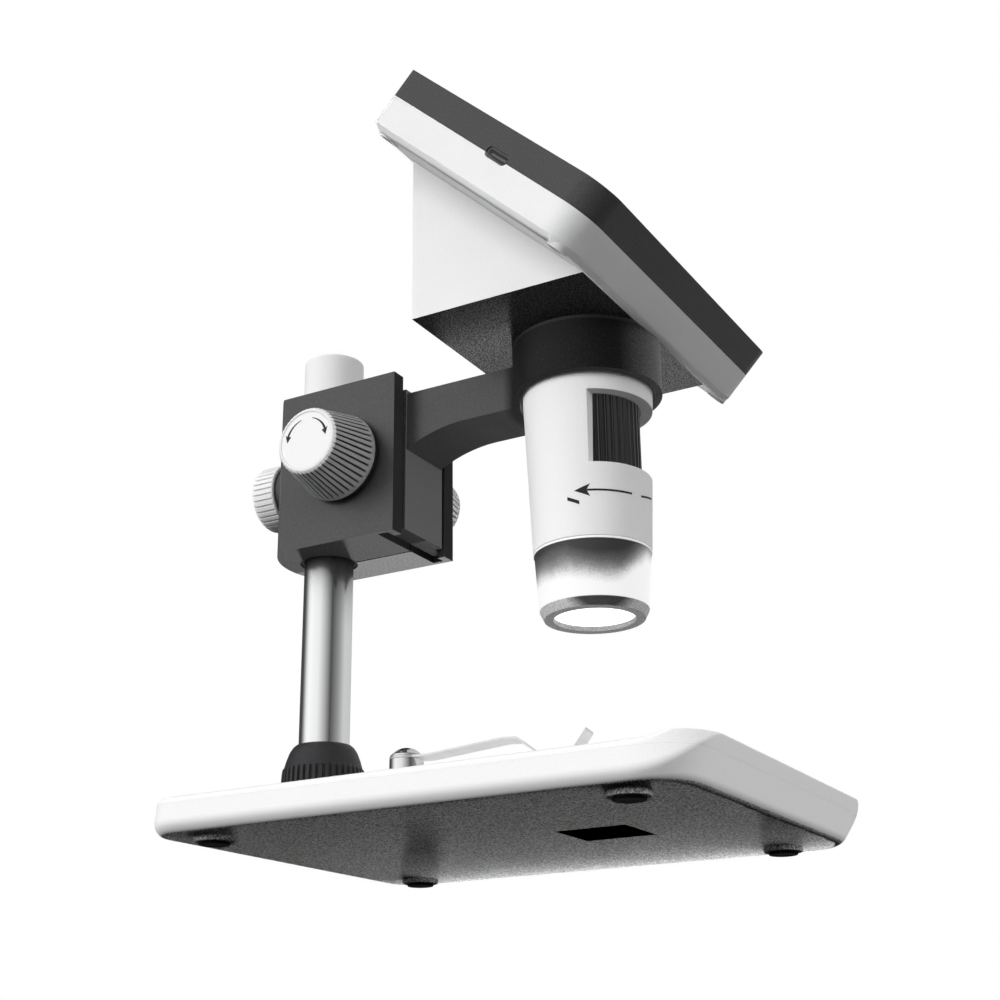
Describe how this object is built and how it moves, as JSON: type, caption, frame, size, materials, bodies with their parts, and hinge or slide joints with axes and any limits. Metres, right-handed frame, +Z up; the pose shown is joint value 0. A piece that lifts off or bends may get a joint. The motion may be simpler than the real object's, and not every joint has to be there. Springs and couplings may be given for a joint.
{
  "type": "lcd digital microscope",
  "caption": "Digital microscope with a tilted screen housing on a lit barrel, held by a geared focus block on a column with a flat stage base and two spring clips.",
  "frame": {"origin": "middle of the overall footprint, at the bottom of the rubber feet", "axes": "+X to the user's right, -Y towards the user, +Z up; the column and the barrel stand along +Z"},
  "size_m": [0.1364, 0.179, 0.2272],
  "materials": {
    "white_plastic": "satin white moulding",
    "white_printed": "smooth white disc with two printed arrows",
    "black_metal": "fine satin black coat",
    "dark_plastic": "matt charcoal moulding",
    "black_plastic": "matt black moulding",
    "rubber": "matt black rubber",
    "column_steel": "polished steel tube",
    "spring_steel": "bright bent strip",
    "zinc_steel": "plain fastener steel",
    "weight_steel": "rolled plate",
    "gear_brass": "machined",
    "rack_aluminium": "machined",
    "frosted_acrylic": "frosted, lights up",
    "clear_glass": "clear",
    "screen_glass": "smoked cover",
    "lcd": "lit panel in a steel frame",
    "board_green": "solder mask",
    "flex_film": "polyimide film",
    "cell_foil": "foil pouch",
    "nylon": "natural nylon",
    "key_grey": "satin grey key"
  },
  "bodies": {
    "base": {"base_tray": "white_plastic", "base_top": "white_plastic", "base_weight": "weight_steel", "base_screws": "zinc_steel", "foot_pads": "rubber", "underside_plate": "black_plastic", "column_tube": "column_steel", "column_plug": "rack_aluminium", "column_bolt": "zinc_steel", "column_cap": "white_plastic", "clip_posts": "spring_steel"},
    "collar": {"column_collar": "black_plastic"},
    "clip_l": {"clip_left": "spring_steel"},
    "clip_r": {"clip_right": "spring_steel"},
    "bush": {"column_bush": "black_plastic"},
    "block": {"focus_block": "black_metal", "knob_washers": "black_plastic", "clamp_pad": "nylon"},
    "lock": {"lock_knob": "white_plastic", "lock_knob_face": "white_printed", "lock_nut": "gear_brass"},
    "shaft": {"pinion_shaft": "zinc_steel", "pinion": "gear_brass", "focus_knob": "white_plastic", "focus_knob_face": "white_printed", "focus_set_screw": "zinc_steel"},
    "clamp": {"clamp_knob": "white_plastic", "clamp_screw": "zinc_steel"},
    "carriage": {"carriage_arm": "black_metal", "rack": "rack_aluminium", "rack_screws": "zinc_steel"},
    "liner": {"ring_liner": "rubber"},
    "head": {"barrel": "white_plastic", "barrel_retainer": "black_plastic", "optic_frame": "black_plastic", "frame_screws": "zinc_steel", "wheel_retainer": "rack_aluminium", "sensor_board": "board_green", "flex_cable": "flex_film", "led_board": "board_green", "diffuser_tip": "frosted_acrylic", "rear_cover": "white_plastic", "case_screws": "zinc_steel", "front_bezel": "dark_plastic", "cover_glass": "screen_glass", "lcd_panel": "lcd", "main_board": "board_green", "battery": "cell_foil", "dc_socket": "zinc_steel", "card_socket": "zinc_steel"},
    "wheel": {"focus_wheel": "rubber"},
    "cell": {"lens_cell": "black_plastic", "lenses": "clear_glass"},
    "card": {"memory_card": "black_plastic"},
    "dimmer": {"dimmer_wheel": "black_plastic"},
    "power": {"power_button": "key_grey"},
    "menu": {"menu_button": "key_grey"},
    "up": {"up_button": "key_grey"},
    "down": {"down_button": "key_grey"},
    "ok": {"ok_button": "key_grey"}
  },
  "joints": [
    {"name": "collar_turn", "type": "hinge", "parent": "base", "child": "collar", "pos_m": [0, 0.06435, 0.025], "axis": [0, 0, 1], "range_deg": [0, 90]},
    {"name": "clip_left_turn", "type": "hinge", "parent": "base", "child": "clip_l", "pos_m": [-0.05, 0.00135, 0.018], "axis": [0, 0, 1], "range_deg": [-20, 60]},
    {"name": "clip_right_turn", "type": "hinge", "parent": "base", "child": "clip_r", "pos_m": [0.05, 0.00135, 0.018], "axis": [0, 0, 1], "range_deg": [-60, 20]},
    {"name": "column_slide", "type": "slide", "parent": "base", "child": "bush", "axis": [0, 0, 1], "range_m": [-0.031, 0]},
    {"name": "block_swivel", "type": "hinge", "parent": "bush", "child": "block", "pos_m": [0, 0.06435, 0.125], "axis": [0, 0, 1], "continuous": true},
    {"name": "lock_turn", "type": "hinge", "parent": "block", "child": "lock", "pos_m": [-0.03, 0.04725, 0.125], "axis": [-1, 0, 0], "range_deg": [0, 120]},
    {"name": "focus_turn", "type": "hinge", "parent": "block", "child": "shaft", "pos_m": [0, 0.04725, 0.125], "axis": [1, 0, 0], "range_deg": [-120, 120]},
    {"name": "clamp_turn", "type": "hinge", "parent": "block", "child": "clamp", "pos_m": [0, 0.08435, 0.125], "axis": [0, 1, 0], "range_deg": [0, 270]},
    {"name": "focus_slide", "type": "slide", "parent": "block", "child": "carriage", "axis": [0, 0, 1], "range_m": [-0.01, 0.01]},
    {"name": "head_swivel", "type": "hinge", "parent": "carriage", "child": "liner", "pos_m": [0, -0.03165, 0.144], "axis": [0, 0, 1], "range_deg": [-80, 80]},
    {"name": "head_lift", "type": "slide", "parent": "liner", "child": "head", "axis": [0, 0, 1], "range_m": [0, 0.095]},
    {"name": "wheel_turn", "type": "hinge", "parent": "head", "child": "wheel", "pos_m": [0, -0.03165, 0.118], "axis": [0, 0, 1], "range_deg": [-170, 170]},
    {"name": "lens_travel", "type": "slide", "parent": "head", "child": "cell", "axis": [0, 0, 1], "range_m": [-0.0028, 0.0028]},
    {"name": "card_slide", "type": "slide", "parent": "head", "child": "card", "axis": [1, 0, 0], "range_m": [0, 0.014]},
    {"name": "dimmer_turn", "type": "hinge", "parent": "head", "child": "dimmer", "pos_m": [0.0571, -0.03881, 0.17763], "axis": [0, -0.6947, 0.7193], "range_deg": [-135, 135]},
    {"name": "power_press", "type": "slide", "parent": "head", "child": "power", "axis": [0, 0.6947, -0.7193], "range_m": [0, 0.0006], "stiffness_N_per_m": 1500, "springref_m": -0.0004},
    {"name": "menu_press", "type": "slide", "parent": "head", "child": "menu", "axis": [0, 0.6947, -0.7193], "range_m": [0, 0.0006], "stiffness_N_per_m": 1500, "springref_m": -0.0004},
    {"name": "up_press", "type": "slide", "parent": "head", "child": "up", "axis": [0, 0.6947, -0.7193], "range_m": [0, 0.0006], "stiffness_N_per_m": 1500, "springref_m": -0.0004},
    {"name": "down_press", "type": "slide", "parent": "head", "child": "down", "axis": [0, 0.6947, -0.7193], "range_m": [0, 0.0006], "stiffness_N_per_m": 1500, "springref_m": -0.0004},
    {"name": "ok_press", "type": "slide", "parent": "head", "child": "ok", "axis": [0, 0.6947, -0.7193], "range_m": [0, 0.0006], "stiffness_N_per_m": 1500, "springref_m": -0.0004}
  ],
  "couplings": [
    {"joint": "focus_turn", "follows": "focus_slide", "rad_per_m": -208.33},
    {"joint": "lens_travel", "follows": "wheel_turn", "m_per_rad": 0.000938}
  ]
}
